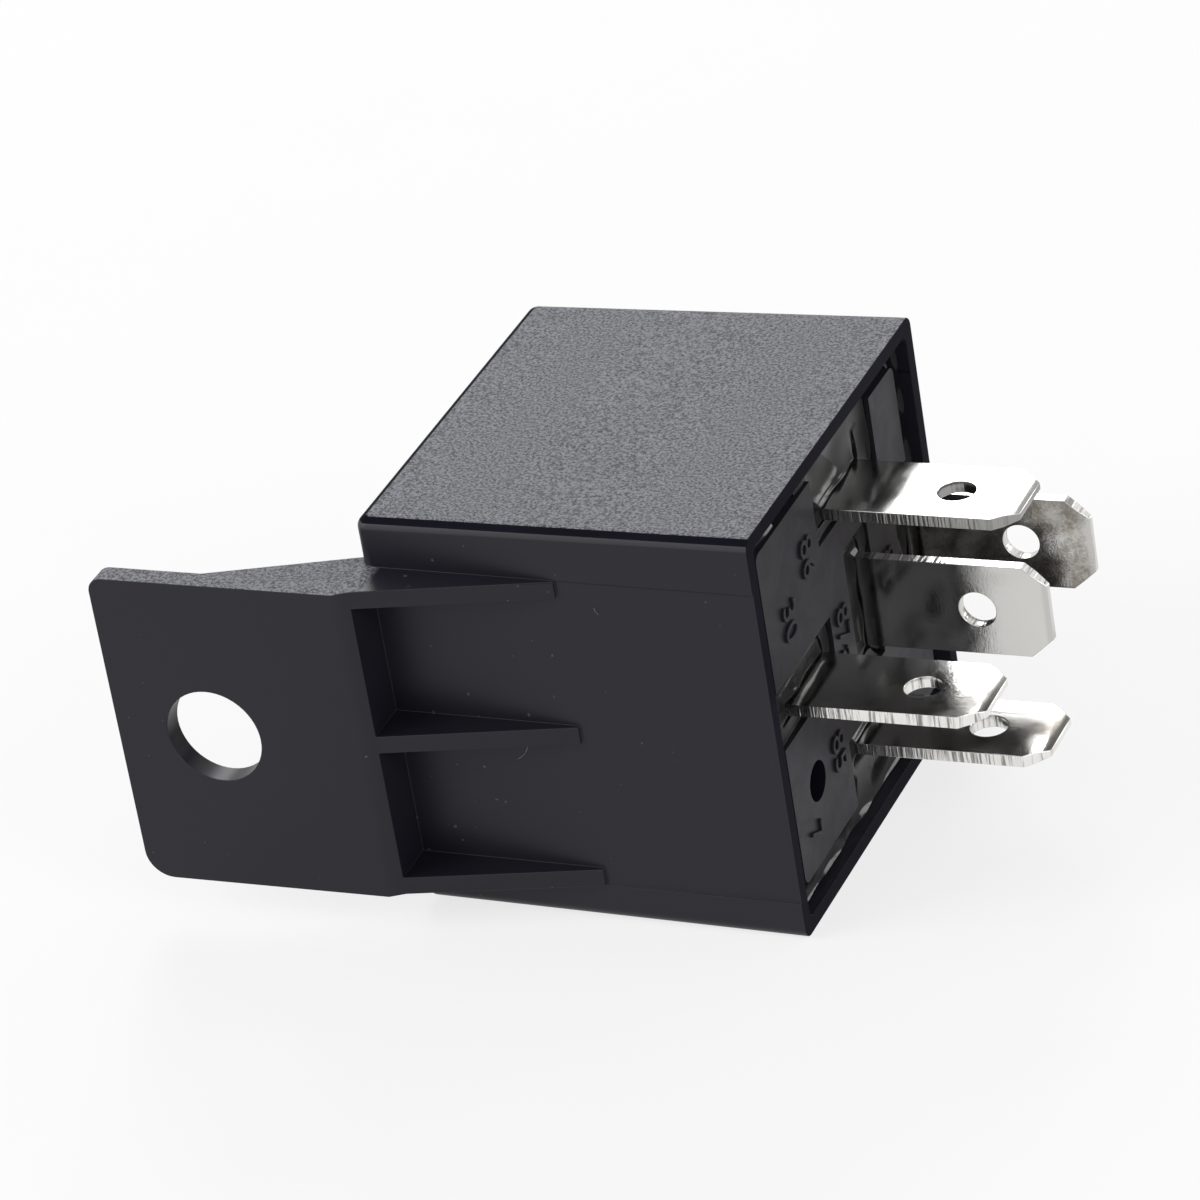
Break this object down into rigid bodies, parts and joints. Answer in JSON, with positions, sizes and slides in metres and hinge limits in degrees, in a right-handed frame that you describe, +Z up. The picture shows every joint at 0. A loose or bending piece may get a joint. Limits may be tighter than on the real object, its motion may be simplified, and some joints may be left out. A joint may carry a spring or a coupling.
{
  "type": "automotive relay",
  "caption": "Plug-in changeover relay for vehicles: square moulded case with a ribbed mounting tab and flat blade terminals in a resin-sealed base.",
  "frame": {"origin": "middle of the bounding box in X and Y, at the level of the case's lower side at its rim", "axes": "+X the way the blades point, -Y the side of the mounting tab, +Z up; the relay lies on one side of its case"},
  "size_m": [0.0546, 0.0322, 0.028],
  "materials": {
    "case_plastic": "black, satin on the faces and spark-eroded grain on the upper side",
    "base_plastic": "black, satin",
    "resin": "cast epoxy, glossy",
    "tinned_brass": "tin plated, satin",
    "plated_iron": "zinc plated, satin",
    "bobbin_plastic": "natural, satin",
    "enamelled_copper": "enamelled wire",
    "leaf_bronze": "rolled strip",
    "rivet_steel": "plated",
    "contact_silver": "silver alloy",
    "spring_steel": "drawn wire",
    "braid_copper": "woven bare copper"
  },
  "bodies": {
    "relay_body": {"case": "case_plastic", "base": "base_plastic", "sealing_resin": "resin", "sealing_resin_87a": "resin", "terminal_30": "tinned_brass", "terminal_85": "tinned_brass", "terminal_86": "tinned_brass", "terminal_87": "tinned_brass", "terminal_87a": "tinned_brass", "yoke": "plated_iron", "core": "plated_iron", "bobbin": "bobbin_plastic", "coil_winding": "enamelled_copper", "coil_lead_start": "enamelled_copper", "coil_lead_finish": "enamelled_copper", "open_contact": "contact_silver", "closed_contact": "contact_silver", "return_spring": "spring_steel", "braid": "braid_copper"},
    "armature_assembly": {"armature": "plated_iron", "contact_leaf": "leaf_bronze", "leaf_rivet_lower": "rivet_steel", "leaf_rivet_upper": "rivet_steel", "moving_contact": "contact_silver"}
  },
  "joints": [
    {"name": "armature_hinge", "type": "hinge", "parent": "relay_body", "child": "armature_assembly", "pos_m": [-0.00485, -0.00725, 0.014], "axis": [0, 0, -1], "range_deg": [0, 1.9], "stiffness_Nm_per_rad": 0.05, "springref_deg": -2.86, "deforming": ["return_spring", "braid"]}
  ]
}
